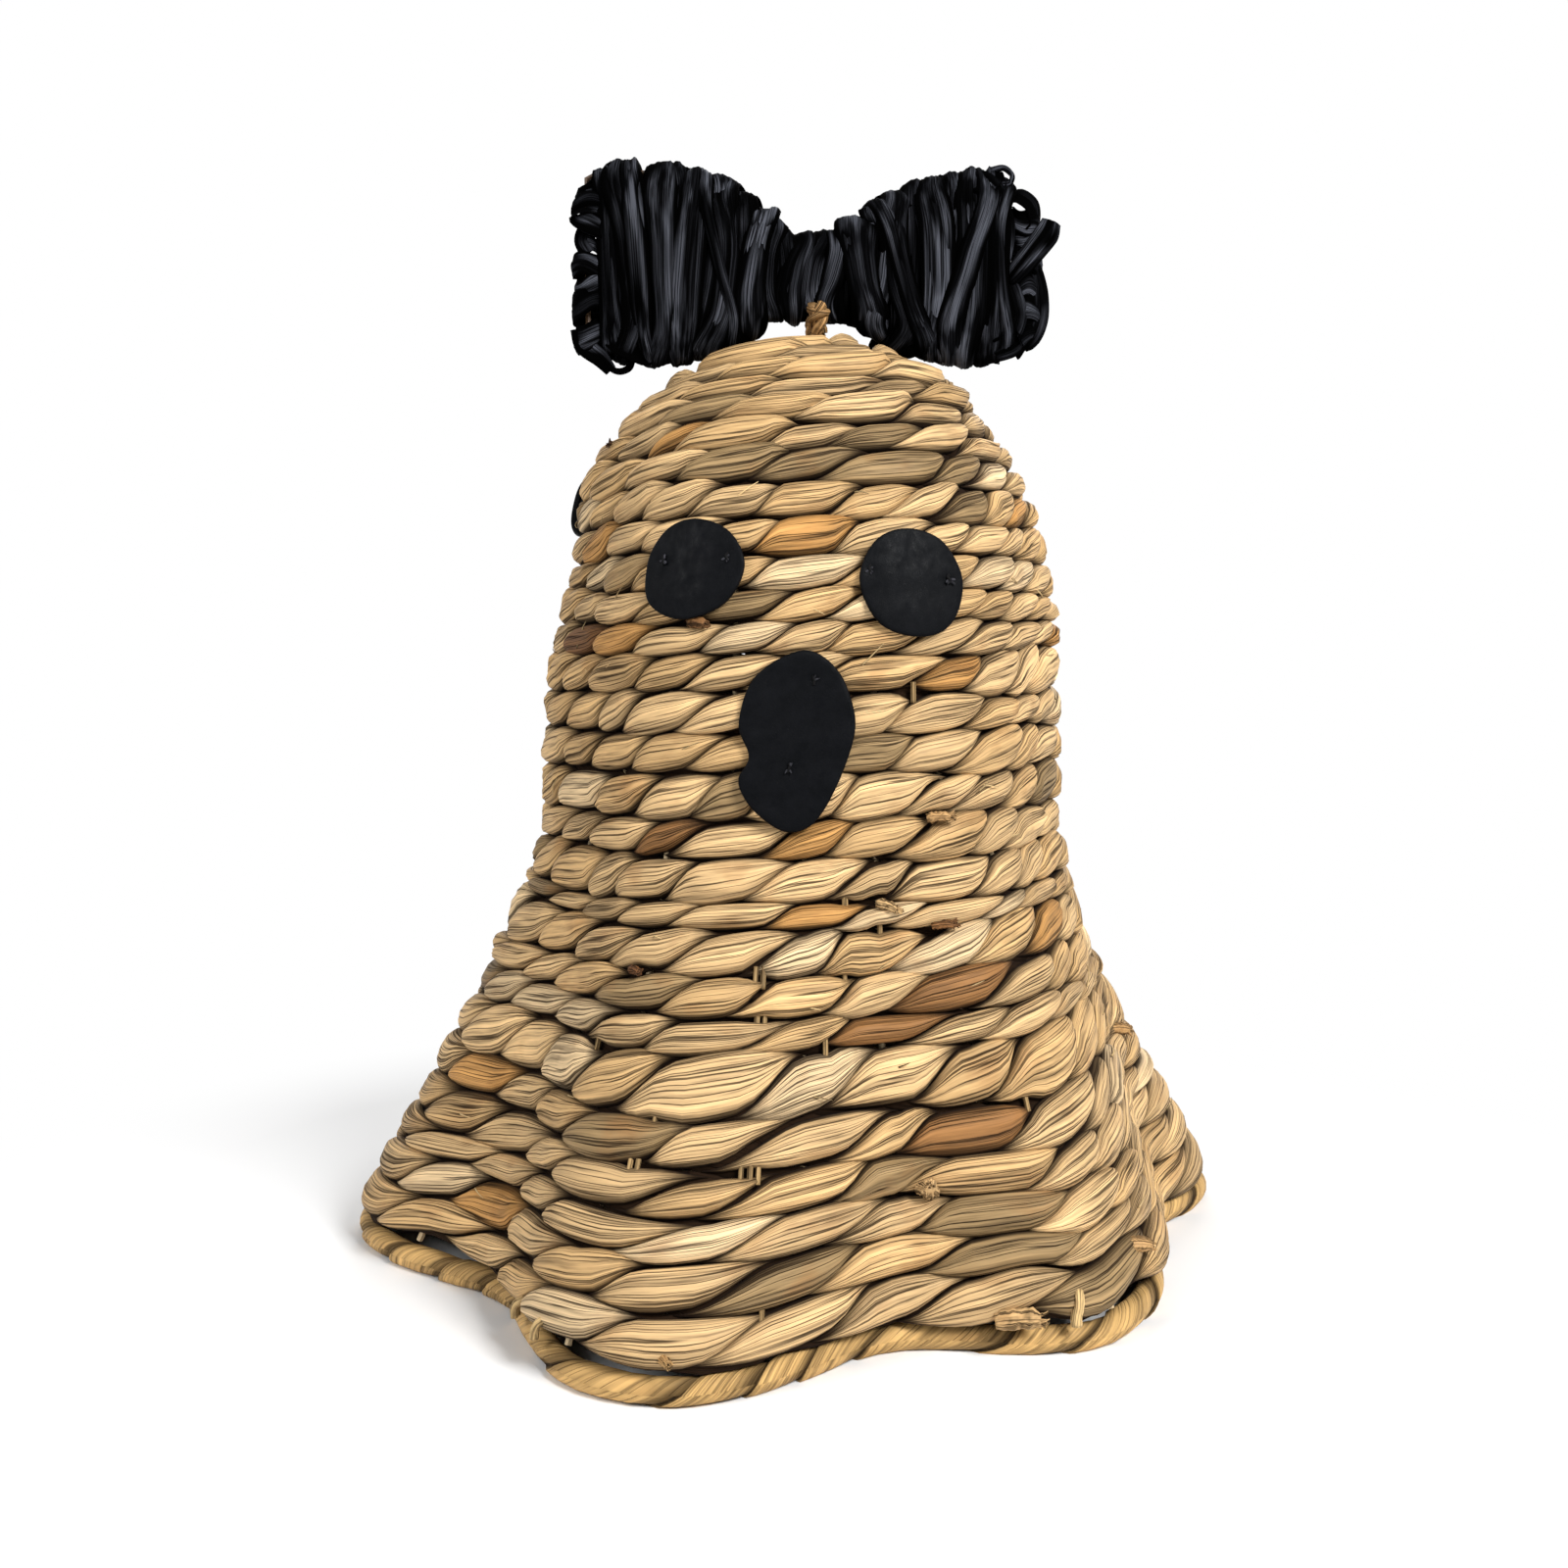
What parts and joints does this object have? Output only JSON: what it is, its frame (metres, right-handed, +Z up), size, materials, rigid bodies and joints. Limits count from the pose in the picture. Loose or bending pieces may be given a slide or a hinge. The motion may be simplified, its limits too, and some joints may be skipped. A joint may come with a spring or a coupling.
{
  "type": "woven ghost figurine",
  "caption": "Hollow standing ghost twined from plant leaf over wire stakes, with a wavy hem, black leather eyes and mouth and a black raffia bow.",
  "frame": {"origin": "on the floor, at the middle of the hem's box", "axes": "+Z up through the head to the bow, the face looks along -Y, +X to the viewer's right"},
  "size_m": [0.2984, 0.2666, 0.3544],
  "materials": {
    "woven_leaf": "dried water hyacinth leaf, satin, with fine lengthwise fibres",
    "hem_binding": "flat dried leaf wound round the hoop",
    "stake_wire": "pale coated wire",
    "black_leather": "flat black leather, low satin",
    "black_thread": "black sewing thread",
    "black_raffia": "dyed black raffia strands, satin folds",
    "bow_wire": "thin brown wire",
    "jute_cord": "twisted plant cord"
  },
  "bodies": {
    "root": {"woven_wall": "woven_leaf", "hem_hoop": "hem_binding", "left_eye": "black_leather", "right_eye": "black_leather", "mouth": "black_leather", "side_patch": "black_leather", "bow_frame": "bow_wire", "bow_wrap_left": "black_raffia", "bow_wrap_middle": "black_raffia", "bow_wrap_right": "black_raffia", "bow_binding_left": "black_raffia", "bow_binding_right": "black_raffia", "bow_strand_end": "black_raffia", "bow_loop": "black_raffia", "tie_cord": "jute_cord", "stake_01": "stake_wire", "stake_02": "stake_wire", "stake_03": "stake_wire", "stake_04": "stake_wire", "stake_05": "stake_wire", "stake_06": "stake_wire", "stake_07": "stake_wire", "stake_08": "stake_wire", "stake_09": "stake_wire", "stake_10": "stake_wire", "stake_11": "stake_wire", "stake_12": "stake_wire", "stake_13": "stake_wire", "stake_14": "stake_wire", "stake_15": "stake_wire", "stake_16": "stake_wire", "stake_17": "stake_wire", "stake_18": "stake_wire", "stake_19": "stake_wire", "stake_20": "stake_wire", "stake_21": "stake_wire", "stake_22": "stake_wire", "stake_23": "stake_wire", "stake_24": "stake_wire", "left_eye_stitch_1": "black_thread", "left_eye_stitch_2": "black_thread", "right_eye_stitch_1": "black_thread", "right_eye_stitch_2": "black_thread", "mouth_stitch_1": "black_thread", "mouth_stitch_2": "black_thread", "side_patch_stitch_1": "black_thread", "side_patch_stitch_2": "black_thread"}
  },
  "joints": []
}
